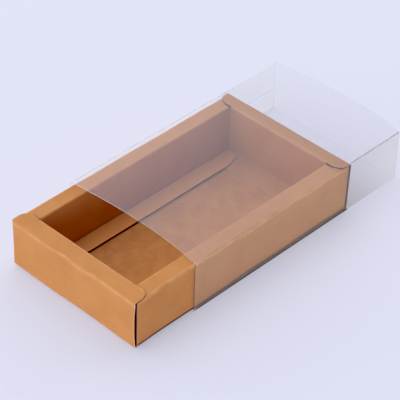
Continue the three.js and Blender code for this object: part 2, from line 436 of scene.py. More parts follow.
@dataclass(frozen=True)
class CutEdgeFinish:
    """The board's cut edge: paler pulp in thin layers."""

    name: str = "kraft_cut_edge"
    colour: Colour = (0.88, 0.62, 0.37)
    layer: Colour = (0.6, 0.34, 0.15)
    layer_stretch: Triple = (0.15, 0.15, 1.0)
    layer_scale: float = 9000.0
    layer_span: Point = (0.4, 0.7)
    layer_share: float = 0.7
    crumb_scale: float = 3000.0
    crumb_depth: float = 0.04 * MM
    crumb_strength: float = 0.7
    roughness: float = 0.95
    gloss: float = 0.15

    def material(self) -> bpy.types.Material:
        """Makes the material.

        Returns:
            The finished material.
        """
        made = bpy.data.materials.new(self.name)
        graph = ShaderGraph(made)
        blank = graph.attribute("blank", "Vector")
        layers = graph.noise(graph.stretched(blank, self.layer_stretch), self.layer_scale, 2.0)
        crumbs = graph.noise(blank, self.crumb_scale, 2.0)
        tone = graph.blend(graph.rise(layers, *self.layer_span) * self.layer_share, self.colour, self.layer)
        look = graph.surface(
            base_color=tone,
            roughness=self.roughness,
            specular_ior_level=self.gloss,
            normal=graph.bump(crumbs, self.crumb_depth, self.crumb_strength),
        )
        graph.finish(look)
        return made


@dataclass(frozen=True)
class ShadedEdgeFinish(CutEdgeFinish):
    """The cut edge of ears and flaps, painted dark as the shade in the gaps beside them."""

    name: str = "kraft_dark_edge"
    colour: Colour = (0.06, 0.017, 0.006)
    layer: Colour = (0.03, 0.008, 0.003)


@dataclass(frozen=True)
class FilmFinish:
    """Clear film: see-through, with a mirror sheen that grows towards grazing view; its dark lines and grey
    are partly painted shade and shadow, and its near edge a painted highlight.
    """

    name: str = "clear_film"
    reflectance: float = 0.052
    mirror: Colour = (0.97, 0.97, 1.0)
    side_mirror: Colour = (0.98, 0.94, 0.76)
    clear: Colour = (0.998, 0.998, 1.0)
    dull: Colour = (0.966, 0.966, 0.972)
    grounded: Colour = (0.79, 0.79, 0.8)
    haze: Colour = (0.86, 0.87, 0.93)
    side_haze: Colour = (0.88, 0.82, 0.66)
    crease_tone: Colour = (0.22, 0.21, 0.25)
    cut_tone: Colour = (0.1, 0.025, 0.015)
    contact_tone: Colour = (0.2, 0.105, 0.03)
    haze_share: float = 0.012
    side_haze_share: float = 0.02
    crease_share: float = 0.28
    cut_share: float = 0.9
    contact_share: float = 0.58
    white_share: float = 0.5
    scuff_share: float = 0.03
    scuff_scale: float = 900.0
    scuff_stretch: Triple = (0.05, 1.0, 1.0)
    scuff_turn: float = 0.2
    scuff_span: Point = (0.62, 0.8)
    stress_scale: float = 500.0
    stress_span: Point = (0.1, 0.6)
    sheen_power: float = 5.0
    mirror_roughness: float = 0.03
    cloud_roughness: float = 0.35
    line_roughness: float = 0.6
    line_gloss: float = 0.1
    contact_roughness: float = 0.9

    def material(self) -> bpy.types.Material:
        """Makes the material.

        Returns:
            The finished material.
        """
        made = bpy.data.materials.new(self.name)
        graph = ShaderGraph(made)
        blank = graph.attribute("blank", "Vector")
        worn = graph.attribute("worn")
        cut = graph.attribute("cut")
        facing = graph.signal("ShaderNodeLayerWeight", "Facing", None, {"Blend": 0.5})
        sheen = self.reflectance + (1 - self.reflectance) * facing**self.sheen_power
        drawn = graph.stretched(blank, self.scuff_stretch, self.scuff_turn)
        scuffs = graph.rise(graph.noise(drawn, self.scuff_scale, 2.0), *self.scuff_span)
        separate = 1 - graph.attribute("joined")
        clouded = (self.haze_share + scuffs * self.scuff_share) * worn
        clouded = clouded + (1 - worn) * separate * self.side_haze_share
        # Painted highlight: the top's near edge clouded pale, more towards the left
        clouded = clouded + graph.attribute("white") * self.white_share
        # Fold lines, partly painted shade that stands in for what the fold bends and reflects
        uneven = graph.rise(graph.noise(blank, self.stress_scale, 2.0), *self.stress_span)
        fold_line = graph.attribute("crease") * uneven
        mirror_tone = graph.blend(worn, self.side_mirror, self.mirror)
        mirror = graph.surface(base_color=mirror_tone, metallic=1.0, roughness=self.mirror_roughness)
        cloud_tone = graph.blend(worn, self.side_haze, self.haze)
        cloud = graph.surface(base_color=cloud_tone, roughness=self.cloud_roughness)
        # Cut edge lines, painted as a dark shadow line where the right panel's near edge lies on the board
        line_tone = graph.blend(cut, self.crease_tone, self.cut_tone)
        line = graph.surface(
            base_color=line_tone, roughness=self.line_roughness, specular_ior_level=self.line_gloss
        )
        clear = graph.signal("ShaderNodeBsdfTransparent", 0, None, {"Color": self.clear})
        dull = graph.signal("ShaderNodeBsdfTransparent", 0, None, {"Color": self.dull})
        # Painted shadow: a grey tint on the floor and in the empty end
        grounded = graph.signal("ShaderNodeBsdfTransparent", 0, None, {"Color": self.grounded})
        open_film = graph.mixed(graph.attribute("grounded"), graph.mixed(worn, clear, dull), grounded)
        glazed = graph.mixed(sheen * separate, open_film, mirror)
        look = graph.mixed(clouded, glazed, cloud)
        look = graph.mixed(fold_line * self.crease_share + cut * self.cut_share, look, line)
        # Painted shadow beside the tray's bottom right edge
        contact = graph.surface(
            base_color=self.contact_tone, roughness=self.contact_roughness, specular_ior_level=0.0
        )
        graph.finish(graph.mixed(graph.attribute("contact") * self.contact_share, look, contact))
        return made


@dataclass(frozen=True)
class FilmEdgeFinish:
    """The film's cut edge, which bends the light away and looks dull."""

    name: str = "film_cut_edge"
    colour: Colour = (0.4, 0.36, 0.36)
    solid_share: float = 0.26
    nick_share: float = 0.25
    nick_scale: float = 1200.0
    nick_span: Point = (0.3, 0.7)
    roughness: float = 0.3

    def material(self) -> bpy.types.Material:
        """Makes the material.

        Returns:
            The finished material.
        """
        made = bpy.data.materials.new(self.name)
        graph = ShaderGraph(made)
        blank = graph.attribute("blank", "Vector")
        nicks = graph.rise(graph.noise(blank, self.nick_scale, 2.0), *self.nick_span)
        dull = graph.surface(base_color=self.colour, roughness=self.roughness)
        open_film = graph.signal("ShaderNodeBsdfTransparent", 0)
        share = self.solid_share - nicks * self.nick_share
        graph.finish(graph.mixed(share, open_film, dull))
        return made


@dataclass(frozen=True)
class GlueFinish:
    """Clear glue, clouded by fine bubbles."""

    name: str = "clear_glue"
    colour: Colour = (0.85, 0.85, 0.84)
    cloud_share: float = 0.008
    bubble_share: float = 0.03
    bubble_scale: float = 1500.0
    bubble_span: Point = (0.55, 0.7)
    roughness: float = 0.4

    def material(self) -> bpy.types.Material:
        """Makes the material.

        Returns:
            The finished material.
        """
        made = bpy.data.materials.new(self.name)
        graph = ShaderGraph(made)
        blank = graph.attribute("blank", "Vector")
        bubbles = graph.rise(graph.noise(blank, self.bubble_scale, 3.0, 0.7), *self.bubble_span)
        body = graph.surface(base_color=self.colour, roughness=self.roughness)
        open_glue = graph.signal("ShaderNodeBsdfTransparent", 0)
        share = self.cloud_share + bubbles * self.bubble_share
        graph.finish(graph.mixed(share, open_glue, body))
        return made


@dataclass(frozen=True)
class SweepFinish:
    """The pale matt floor of the studio, which glows a little so that shadows on it stay faint."""

    name: str = "pale_floor"
    colour: Colour = (0.395, 0.4, 0.462)
    shade: Colour = (0.37, 0.375, 0.437)
    glow: Colour = (0.98, 0.975, 1.12)
    glow_strength: float = 0.36
    cloud_scale: float = 6.0
    roughness: float = 0.9
    gloss: float = 0.2

    def material(self) -> bpy.types.Material:
        """Makes the material.

        Returns:
            The finished material.
        """
        made = bpy.data.materials.new(self.name)
        graph = ShaderGraph(made)
        place = graph.signal("ShaderNodeTexCoord", "Object")
        tone = graph.blend(graph.noise(place, self.cloud_scale, 2.0), self.colour, self.shade)
        look = graph.surface(
            base_color=tone,
            roughness=self.roughness,
            specular_ior_level=self.gloss,
            emission_color=self.glow,
            emission_strength=self.glow_strength,
        )
        graph.finish(look)
        return made


@dataclass(frozen=True)
class Profile:
    """Middle line of a folded sheet in section: straight legs joined by round creases.

    Args:
        corners: Where the legs would meet, from the sheet's start to its free end.
        radius: Middle radius of a crease.
        softness: Extra radius of a crease, by its number and the place along it.
        crease_steps: How many facets a crease takes.
        smallest: A leg shorter than this counts as none.
    """

    corners: tuple[Point, ...]
    radius: float
    softness: Callable[[int, float], float] | None = None
    crease_steps: int = 8
    smallest: float = 1e-9

    def heading(self, leg: int) -> float:
        """Returns the direction of a leg, in radians."""
        (x0, y0), (x1, y1) = self.corners[leg], self.corners[leg + 1]
        return math.atan2(y1 - y0, x1 - x0)

    def turn(self, corner: int) -> float:
        """Returns how far the sheet turns at a corner, anticlockwise when positive."""
        change = self.heading(corner) - self.heading(corner - 1)
        return (change + math.pi) % (2 * math.pi) - math.pi

    def crease_radius(self, corner: int, along: float) -> float:
        """Returns the radius of a crease at a place along it."""
        extra = self.softness(corner, along) if self.softness else 0.0
        return self.radius + extra

    def cut_back(self, corner: int, radius: float) -> float:
        """Finds how much of a leg a crease takes up, which is nothing at the sheet's ends.

        Args:
            corner: The crease's number.
            radius: Its middle radius.

        Returns:
            The length that the crease takes from the leg.
        """
        if corner in (0, len(self.corners) - 1):
            return 0.0
        return radius * math.tan(abs(self.turn(corner)) / 2)

    def leg_length(self, leg: int) -> float:
        """Finds the straight length of a leg between its two creases.

        Args:
            leg: The leg's number, from 0.

        Returns:
            The length.
        """
        (x0, y0), (x1, y1) = self.corners[leg], self.corners[leg + 1]
        taken = self.cut_back(leg, self.radius) + self.cut_back(leg + 1, self.radius)
        return math.hypot(x1 - x0, y1 - y0) - taken

    def stations(self) -> list[float]:
        """Finds where the legs and creases end in turn.

        Returns:
            The distances along the sheet, from 0 to its whole length.
        """
        found = [0.0]
        for leg in range(len(self.corners) - 1):
            found.append(found[-1] + self.leg_length(leg))
            if leg < len(self.corners) - 2:
                found.append(found[-1] + self.radius * abs(self.turn(leg + 1)))
        return found

    def crease(self, corner: int) -> tuple[float, float]:
        """Returns where a crease starts and ends, as distances along the sheet."""
        stations = self.stations()
        return stations[2 * corner - 1], stations[2 * corner]

    def length(self) -> float:
        """Returns the whole length of the sheet."""
        return self.stations()[-1]

    def at(self, along: float, distance: float) -> Point:
        """Finds a point of the middle line.

        Args:
            along: The place along the creases, which the softness depends on.
            distance: How far along the sheet.

        Returns:
            The point in the plane of the section.
        """
        stations = self.stations()
        part = 0
        while part < len(stations) - 2 and distance > stations[part + 1]:
            part += 1
        span = stations[part + 1] - stations[part]
        share = (distance - stations[part]) / span if span > self.smallest else 0.0
        if part % 2 == 0:
            return self.on_leg(part // 2, along, share)
        return self.on_crease(part // 2 + 1, along, share)

    def on_leg(self, leg: int, along: float, share: float) -> Point:
        """Finds a point of a leg.

        Args:
            leg: The leg's number, from 0.
            along: The place along the creases, which the softness depends on.
            share: How far along the leg, from 0 to 1.

        Returns:
            The point in the plane of the section.
        """
        angle = self.heading(leg)
        (x0, y0), (x1, y1) = self.corners[leg], self.corners[leg + 1]
        first = self.cut_back(leg, self.crease_radius(leg, along))
        last = self.cut_back(leg + 1, self.crease_radius(leg + 1, along))
        run = first + (math.hypot(x1 - x0, y1 - y0) - first - last) * share
        return x0 + run * math.cos(angle), y0 + run * math.sin(angle)

    def on_crease(self, corner: int, along: float, share: float) -> Point:
        """Finds a point of a crease.

        Args:
            corner: The crease's number.
            along: The place along the crease, which its softness depends on.
            share: How far round the crease, from 0 to 1.

        Returns:
            The point in the plane of the section.
        """
        radius = self.crease_radius(corner, along)
        entry = self.heading(corner - 1)
        turn = self.turn(corner)
        side = math.copysign(radius, turn)
        back = self.cut_back(corner, radius)
        x = self.corners[corner][0] - back * math.cos(entry) - side * math.sin(entry)
        y = self.corners[corner][1] - back * math.sin(entry) + side * math.cos(entry)
        angle = entry + turn * share
        return x + side * math.sin(angle), y - side * math.cos(angle)

    def rows(self, start: float, end: float, pitch: float, margin: float) -> list[float]:
        """Returns where a panel needs a line of points across it.

        Args:
            start: The panel's first distance along the sheet.
            end: Its last distance.
            pitch: The widest step on a leg.
            margin: How far beside a crease its rubbing and painted light reach.

        Returns:
            The distances, in no order, the panel's own ends left out.
        """
        found = []
        stations = self.stations()
        for part, (first, last) in enumerate(zip(stations, stations[1:])):
            if part % 2:
                found += steps(first, last, (last - first) / self.crease_steps)
                found += [first - margin, first - margin / 2, last + margin / 2, last + margin]
            elif last > first:
                found += steps(first, last, pitch)
        return [value for value in found if start < value < end]

    def wear(self, distance: float, margin: float) -> float:
        """Finds how near a crease a point of the sheet is, which the rubbing, painted highlights and painted
        fold lines follow.

        Args:
            distance: How far along the sheet.
            margin: How far beside a crease its rubbing and painted light reach.

        Returns:
            1 on a crease, less beside it, and 0 beyond the margin.
        """
        best = 0.0
        for corner in range(1, len(self.corners) - 1):
            first, last = self.crease(corner)
            away = max(first - distance, distance - last, 0.0)
            best = max(best, 1 - away / margin)
        return best


@dataclass(frozen=True)
class Stock:
    """Sheet that panels are cut from.

    Args:
        thickness: How thick the sheet is.
        bend: Inner radius of a crease.
        face: Material of both faces.
        edge: Material of the cut edges.
        slot: The record's material slot; not used.
        pitch: The widest facet.
        wear_margin: How far beside a crease its rubbing and painted light reach.
        cut_margin: How far in from a cut edge the film shows it.
        weld: Points nearer than this to a cut are taken as on it.
        hair: The short step by which normals are measured.
    """

    thickness: float
    bend: float
    face: bpy.types.Material
    edge: bpy.types.Material
    slot: str
    pitch: float = 4 * MM
    wear_margin: float = 0.9 * MM
    cut_margin: float = 0.4 * MM
    weld: float = 1e-7
    hair: float = 0.02 * MM

    @property
    def radius(self) -> float:
        """Returns the middle radius of a crease."""
        return self.bend + self.thickness / 2

    def blank_mesh(
        self, outline: Sequence[Point], columns: Sequence[float], rows: Sequence[float]
    ) -> bmesh.types.BMesh:
        """Cuts a flat outline into facets.

        Args:
            outline: The outline of the flat panel.
            columns: Where it is cut along its first axis.
            rows: Where it is cut along its second axis.

        Returns:
            The flat mesh, which faces up.
        """
        flat = bmesh.new()
        face = flat.faces.new([flat.verts.new((u, v, 0.0)) for u, v in outline])
        face.normal_update()
        if face.normal.z < 0:
            face.normal_flip()
        cuts = [((value, 0.0, 0.0), (1.0, 0.0, 0.0)) for value in sorted(set(columns))]
        cuts += [((0.0, value, 0.0), (0.0, 1.0, 0.0)) for value in sorted(set(rows))]
        for point, normal in cuts:
            parts = flat.verts[:] + flat.edges[:] + flat.faces[:]
            bmesh.ops.bisect_plane(flat, geom=parts, dist=self.weld, plane_co=point, plane_no=normal)
        return flat

    def panel(
        self,
        name: str,
        flat: bmesh.types.BMesh,
        place: Place,
        blank: Callable[[float, float], Point],
        **masks: Mask,
    ) -> bpy.types.Object:
        """Bends a flat mesh into place and gives it thickness.

        Args:
            name: The piece's name.
            flat: The flat mesh, which is used up.
            place: Where each flat point of the middle surface goes.
            blank: Where it lies in the uncut sheet, for the finish.
            masks: What the finish reads, from 0 to 1, by its name.

        Returns:
            The new object.
        """
        flat.verts.ensure_lookup_table()
        flat.verts.index_update()
        spots = [self.spot(place, vert.co.x, vert.co.y) for vert in flat.verts]
        count = len(spots)
        half = self.thickness / 2
        points = [middle + normal * half for middle, normal in spots]
        points += [middle - normal * half for middle, normal in spots]
        faces = [[vert.index for vert in face.verts] for face in flat.faces]
        faces += [[index + count for index in reversed(face)] for face in faces]
        shown = len(faces)
        for edge in flat.edges:
            if len(edge.link_loops) == 1:
                loop = edge.link_loops[0]
                first, last = loop.vert.index, loop.link_loop_next.vert.index
                faces.append([first, first + count, last + count, last])
        data = bpy.data.meshes.new(name)
        data.from_pydata(points, [], faces)
        data.materials.append(self.face)
        data.materials.append(self.edge)
        data.polygons.foreach_set("material_index", [int(i >= shown) for i in range(len(faces))])
        data.polygons.foreach_set("use_smooth", [True] * len(faces))
        data.set_sharp_from_angle(angle=SHARP_ANGLE)
        flat_places = [(vert.co.x, vert.co.y) for vert in flat.verts]
        self.carry(data, flat_places, blank, masks)
        normals = []
        for index, face in enumerate(faces):
            for corner in face:
                if index >= shown:
                    normals.append(Vector())
                else:
                    normals.append(spots[corner][1] if corner < count else -spots[corner - count][1])
        data.normals_split_custom_set(normals)
        flat.free()
        made = bpy.data.objects.new(name, data)
        bpy.context.scene.collection.objects.link(made)
        return made

    def spot(self, place: Place, u: float, v: float) -> tuple[Vector, Vector]:
        """Finds a point of the bent middle surface and its normal.

        Args:
            place: Where flat points go.
            u: First flat coordinate.
            v: Second flat coordinate.

        Returns:
            The point and the unit normal.
        """
        hair = self.hair
        along = place(u + hair, v) - place(u - hair, v)
        across = place(u, v + hair) - place(u, v - hair)
        return place(u, v), along.cross(across).normalized()

    def carry(
        self,
        data: bpy.types.Mesh,
        flat_places: Sequence[Point],
        blank: Callable[[float, float], Point],
        masks: dict[str, Mask],
    ) -> None:
        """Writes what the finishes read onto the mesh.

        Args:
            data: The mesh.
            flat_places: The flat points, once for each of the two faces.
            blank: Where a flat point lies in the uncut sheet.
            masks: What the finish reads, from 0 to 1, by its name.
        """
        half = self.thickness / 2
        vectors = []
        for level in (half, -half):
            for u, v in flat_places:
                vectors += [*blank(u, v), level]
        data.attributes.new("blank", "FLOAT_VECTOR", "POINT").data.foreach_set("vector", vectors)
        for name, mask in masks.items():
            values = [mask(u, v) for u, v in flat_places] * 2
            data.attributes.new(name, "FLOAT", "POINT").data.foreach_set("value", values)


class Side(Enum):
    """The four sides of the tray, by their turn about the upright axis."""

    FRONT = 0.0
    RIGHT = QUARTER
    BACK = 2 * QUARTER
    LEFT = -QUARTER

    @property
    def word(self) -> str:
        """Returns the side's name in lower case."""
        return self.name.lower()

    @property
    def is_end(self) -> bool:
        """Tells whether it is one of the two short sides."""
        return self in (Side.FRONT, Side.BACK)


class TrayFold(IntEnum):
    """The creases of one side of the tray, from the base to the free end."""

    BOTTOM = 1
    OUTER_TOP = 2
    INNER_TOP = 3
    FLAP_ROOT = 4


class SleeveFold(IntEnum):
    """The creases of the film, from the lap's free edge round to the left panel's."""

    LOW_LEFT = 1
    LOW_RIGHT = 2
    TOP_RIGHT = 3
    TOP_LEFT = 4


@dataclass
class Tray:
    """The drawer: one blank of board folded into a tray with hollow walls.

    Each side is drawn as if it ran along X with its outer face towards -Y, and is then turned
    into place. Its blank point is the place along the side and the distance along the sheet.
    """

    stock: Stock
    flap_stock: Stock

    # How the panels are cut
    ear_radius: float = 6.2 * MM
    bottom_room: float = 1.4 * MM
    tab_length: float = 18 * MM
    tab_taper: float = 3 * MM
    tab_face: float = 1.1 * MM
    tab_lean: float = math.radians(20)
    end_flap_depth: float = 12.4 * MM
    end_flap_taper: float = 2.5 * MM
    side_flap_width: float = 11.2 * MM
    side_flap_end_width: float = 7.4 * MM
    side_flap_end_length: float = 14 * MM
    bow_steps: int = 18

    # How far the side edges of the end walls are cut back: at their ends, and how much more halfway
    front_left_cut: Point = (0.15 * MM, 0.35 * MM)
    front_right_cut: Point = (0.2 * MM, 0.8 * MM)
    back_left_cut: Point = (0.02 * MM, 0.08 * MM)
    back_right_cut: Point = (0.4 * MM, 0.8 * MM)

    # The room left between panels
    lay_gap: float = 0.05 * MM
    corner_gap: float = 0.3 * MM
    hinge_gap: float = 0.1 * MM
    flap_end_gap: float = 0.5 * MM
    ear_slot: float = 0.15 * MM

    # How the walls lean, bulge and ripple
    left_lean: float = -0.9 * MM
    right_lean: float = -0.5 * MM
    front_lean: float = 0.6 * MM
    back_lean: float = 1.3 * MM
    back_kick: float = 1.1 * MM
    belly: float = 0.12 * MM
    ripple: float = 0.07 * MM
    ripple_sideways: float = 0.6
    ripple_across: Wave = Wave(9 * MM, 1.3, 21 * MM)
    ripple_along: Wave = Wave(13 * MM, 0.8, 17 * MM)

    # How soft the creases are: at the least, and how much more at the most
    bottom_softness: Point = (0.55, 0.4)
    top_softness: Point = (0.175 * MM, 0.325 * MM)
    inner_softness: float = 0.25 * MM
    crease_wave: Wave = Wave(8.5 * MM, 0.7, 5.3 * MM)

    # How far ears and flaps stand up: the left and right ears, and the flaps by share of half their length
    front_lifts: Point = (0.6 * MM, 0.7 * MM)
    back_lifts: Point = (0.5 * MM, 0.45 * MM)
    left_curls: tuple[Point, ...] = ((-1.0, 0.1 * MM), (-0.75, 0.35 * MM), (0.0, 0.15 * MM), (1.0, 0.35 * MM))
    right_curls: tuple[Point, ...] = ((-1.0, 0.3 * MM), (0.0, 0.5 * MM), (1.0, 0.2 * MM))
    curl_power: float = 1.6

    # How the folds are paled by rubbing, with a painted highlight
    inner_rub: float = 0.5
    end_inner_rub: float = 0.9
    rub_drop: float = 0.9 * MM
    rub_margin: float = 0.6 * MM
    rub_wander: float = 0.4 * MM
    rub_wave: Wave = Wave(6 * MM, 1.7, 11 * MM)

    # Painted shade where the board is closed in, painted light on the floor flaps, and how its tone differs
    # from panel to panel
    ear_line_width: float = 0.8 * MM
    ear_line_share: float = 0.8
    edge_line_width: float = 0.35 * MM
    under_shade: float = 0.93
    under_rise: float = 0.4 * MM
    covered_rise: float = 0.15 * MM
    film_start: float = -39 * MM
    back_lining: float = 0.9
    lining_width: float = 1.3 * MM
    tab_shade: float = 0.97
    front_right_light: float = 0.6
    back_right_light: float = 0.0
    left_light: float = 0.25
    flap_fresh: float = 0.6
    base_mottle: float = 0.28

    pieces: list[bpy.types.Object] = field(default_factory=list)

    def __post_init__(self) -> None:
        """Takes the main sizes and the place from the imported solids."""
        front_low, front_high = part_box("front_rim")
        _, back_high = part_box("back_rim")
        base_low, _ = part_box("base_panel")
        _, side_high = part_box("right_rim")
        self.half_width = (front_high.x - front_low.x) / 2
        self.half_length = (back_high.y - front_low.y) / 2
        self.height = front_high.z - base_low.z
        self.rim_width = front_high.y - front_low.y
        self.side_top = side_high.z - base_low.z
        self.origin = Vector((0.0, (front_low.y + back_high.y) / 2, base_low.z))
        self.open_half_width = self.half_width - self.rim_width
        self.open_half_length = self.half_length - self.rim_width
        self.board = self.stock.thickness
        self.fold = self.stock.bend + self.board
        self.flap_bottom = self.board + self.lay_gap
        self.side_flap_bottom = self.flap_bottom + self.board + self.lay_gap
        self.wall_half_span = self.half_length - self.tab_face - self.fold
        self.end_half_span = self.open_half_width - self.corner_gap

    def settled(self, point: Vector) -> Vector:
        """Moves a point of the ideal tray to where the board has settled after folding.

        Args:
            point: The point, from the middle of the tray's underside.

        Returns:
            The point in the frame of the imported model.
        """
        x, y, z = point
        rise = clamp(z / self.height)
        wide, open_wide = self.half_width, self.open_half_width
        long, open_long = self.half_length, self.open_half_length
        knots_x = ((-wide, 0.0), (-open_wide, self.left_lean), (open_wide, self.right_lean), (wide, 0.0))
        knots_y = ((-long, 0.0), (-open_long, self.front_lean), (open_long, self.back_lean), (long, 0.0))
        shift_x = between(x, knots_x) * rise
        shift_y = between(y, knots_y) * rise
        in_back = clamp((y - open_long) / self.rim_width)
        in_front = clamp((-y - open_long) / self.rim_width)
        shift_y -= in_back * self.back_kick * (1 - rise)
        bulge = math.sin(math.pi * rise) * self.belly
        shift_x += bulge * math.cos(math.pi * y / (2 * long)) * x / wide
        shift_y += 2 * bulge * in_front * math.cos(math.pi * x / (2 * wide))
        wave = self.ripple_across.at(x, y)
        swell = self.ripple_along.at(y, x, 2 * rise)
        shift_z = self.ripple * (0.5 * wave + 0.5 * swell) * rise
        shift_x += self.ripple_sideways * self.ripple * swell * rise
        shift_y += in_front * self.ripple * (1 + wave)
        return self.origin + Vector((x + shift_x, y + shift_y, z + shift_z))

    def placed(self, side: Side, point: Vector) -> Vector:
        """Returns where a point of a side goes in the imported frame."""
        return self.settled(Matrix.Rotation(side.value, 3, "Z") @ point)

    def in_blank(self, side: Side, along: float, distance: float) -> Point:
        """Finds where a point of a side lies in the flat blank.

        Args:
            side: The side.
            along: The place along it.
            distance: How far along the sheet, from the end of the base.

        Returns:
            The point of the blank, from its middle.
        """
        reach = self.half_length if side.is_end else self.half_width
        start = reach - self.fold - self.bottom_room
        flat = Matrix.Rotation(side.value, 3, "Z") @ Vector((along, -start - distance, 0.0))
        return flat.x, flat.y

    def softness(self, side: Side) -> Callable[[int, float], float]:
        """Says how soft each crease of a side is.

        Args:
            side: The side.

        Returns:
            A function of the crease's number and the place along it.
        """

        def extra(corner: int, along: float) -> float:
            """Finds how much softer a crease is than the sharpest bend.

            Args:
                corner: The crease's number.
                along: The place along it.

            Returns:
                The extra radius.
            """
            share = 0.5 + 0.5 * self.crease_wave.at(along, along, side.value, 1.0)
            if corner == TrayFold.BOTTOM:
                least, more = self.bottom_softness
                return self.bottom_room * (least + more * share)
            if corner == TrayFold.OUTER_TOP:
                least, more = self.top_softness
                return least + more * share
            return self.inner_softness * share

        return extra

    def profile(self, side: Side) -> Profile:
        """Draws a side in section, in its own Y and Z.

        Args:
            side: The side.

        Returns:
            The profile, from the base to the free end.
        """
        reach = self.half_length if side.is_end else self.half_width
        top = self.height if side.is_end else self.side_top
        middle = self.board / 2
        wall = middle - reach
        inner = self.rim_width - middle - reach
        start = self.fold + self.bottom_room - reach
        corners = [(start, middle), (wall, middle), (wall, top - middle), (inner, top - middle)]
        if side.is_end:
            flap = self.flap_bottom + middle
            corners += [(inner, flap), (self.rim_width - reach + self.end_flap_depth, flap)]
        else:
            corners.append((inner, self.flap_bottom))
        return Profile(tuple(corners), self.stock.radius, self.softness(side))

    def side_panel(
        self,
        side: Side,
        part: str,
        outline: Sequence[Point],
        profile: Profile,
        place: Place | None = None,
        extra_columns: Sequence[float] = (),
        stock: Stock | None = None,
        **masks: Mask,
    ) -> bpy.types.Object:
        """Makes one panel of a side.

        Args:
            side: The side it belongs to.
            part: The panel's name within the side.
            outline: Its outline in the blank.
            profile: The side's section.
            place: Where its points go, if not simply by the profile.
            extra_columns: More places along the side that need a line of points.
            stock: The sheet it is cut from, if not the tray's usual one.
            masks: What else the finish reads, from 0 to 1, by its name.

        Returns:
            The piece.
        """
        stock = stock or self.stock

        def by_profile(along: float, distance: float) -> Vector:
            """Returns where a blank point goes."""
            return self.placed(side, Vector((along, *profile.at(along, distance))))

        _, rim_start = profile.crease(TrayFold.OUTER_TOP)
        rim_end, _ = profile.crease(TrayFold.INNER_TOP)

        def rubbed(along: float, distance: float) -> float:
            """Finds how far the board is paled by rubbing, with a painted highlight: most on the outer folds,
            along a wandering line.

            Args:
                along: The place along the side.
                distance: How far along the sheet.

            Returns:
                The rubbing and painted highlight, from 0 to 1.
            """
            if distance > (rim_start + rim_end) / 2:
                share = self.end_inner_rub if side.is_end else self.inner_rub
                return share * profile.wear(distance, margin)
            wander = self.rub_wander * self.rub_wave.at(along, along, 0.0, side.value)
            drop = self.rub_drop if side.is_end else 0.0
            return profile.wear(distance + drop + wander, self.rub_margin)

        low = min(v for _, v in outline)
        high = max(v for _, v in outline)
        left = min(u for u, _ in outline)
        right = max(u for u, _ in outline)
        margin = stock.wear_margin
        columns = [*steps(left, right, stock.pitch)[1:-1], *extra_columns]
        flat = stock.blank_mesh(outline, columns, profile.rows(low, high, stock.pitch, margin))
        made = stock.panel(
            f"kraft_{side.word}_{part}",
            flat,
            place or by_profile,
            lambda u, v: self.in_blank(side, u, v),
            crease=rubbed,
            **masks,
        )
        return self.keep(made, "tray", f"{side.word}_{part}")

    def keep(self, made: bpy.types.Object, body: str, node: str) -> bpy.types.Object:
        """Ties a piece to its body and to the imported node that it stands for.

        Args:
            made: The piece.
            body: The body that it rides on.
            node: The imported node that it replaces.

        Returns:
            The piece.
        """
        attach(made, body)
        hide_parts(node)
        self.pieces.append(made)
        return made

    def end_outer_wall(
        self, side: Side, left_cut: Point, right_cut: Point, stock: Stock, lining_share: float = 0.0
    ) -> None:
        """Makes the outer wall of a short side, whose side edges are cut back in a bow.

        Args:
            side: The side.
            left_cut: How far its left edge is cut back at its ends, and how much more halfway.
            right_cut: The same for its right edge.
            stock: The sheet it is cut from.
            lining_share: How much painted shade darkens its inner face at its side edges.
        """
        profile = self.profile(side)
        top, _ = profile.crease(TrayFold.OUTER_TOP)
        inner_shade_from = self.half_width - self.lining_width

        def lining(along: float, distance: float) -> float:
            """Returns how much painted shade darkens the inner face near a side edge."""
            return lining_share * eased(abs(along), inner_shade_from, inner_shade_from + self.board)

        outline = []
        for cut, sign in ((right_cut, 1), (left_cut, -1)):
            edge = []
            for share in steps(0.0, 1.0, 1 / self.bow_steps):
                back = cut[0] + cut[1] * 4 * share * (1 - share)
                edge.append((sign * (self.half_width - back), top * share))
            outline += edge if sign > 0 else reversed(edge)
        columns = (-inner_shade_from - self.board, -inner_shade_from, inner_shade_from, inner_shade_from + self.board)
        self.side_panel(side, "outer_wall", outline, profile, None, columns, stock, lining=lining)

    def end_rim(self, side: Side, lifts: Point) -> None:
        """Makes the rim of a short side, with its two rounded ears.

        Args:
            side: The side.
            lifts: How far the left and right ears stand up at their tips.
        """
        profile = self.profile(side)
        start, flat_start = profile.crease(TrayFold.OUTER_TOP)
        crease_start, crease_end = profile.crease(TrayFold.INNER_TOP)
        inner = crease_start + self.fold
        radius = self.ear_radius
        span = self.end_half_span
        slot = span + self.ear_slot
        wide = self.half_width
        right = [(wide, start)]
        right += arc((wide - radius, inner - radius), (radius, radius), 0.0, QUARTER)
        right += [(slot, inner), (slot, crease_start), (span, crease_start), (span, crease_end)]
        outline = right + [(-u, v) for u, v in reversed(right)]

        def place(along: float, distance: float) -> Vector:
            """Finds where a point of the rim or of an ear goes.

            Args:
                along: The place along the side.
                distance: How far along the sheet.

            Returns:
                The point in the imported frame.
            """
            if abs(along) > span + self.ear_slot / 2 and distance > crease_start:
                y, z = profile.at(along, crease_start)
                y += distance - crease_start
            else:
                y, z = profile.at(along, distance)
            lift = lifts[0] if along < 0 else lifts[1]
            outwards = eased(abs(along), span - 2 * self.fold, wide)
            inwards = eased(distance, flat_start, inner + self.rim_width / 2)
            return self.placed(side, Vector((along, y, z + lift * outwards * inwards)))

        turns = (-wide + radius, wide - radius)
        # The ears' cut edges are painted dark as shade
        self.side_panel(side, "rim", outline, profile, place, turns, self.flap_stock)

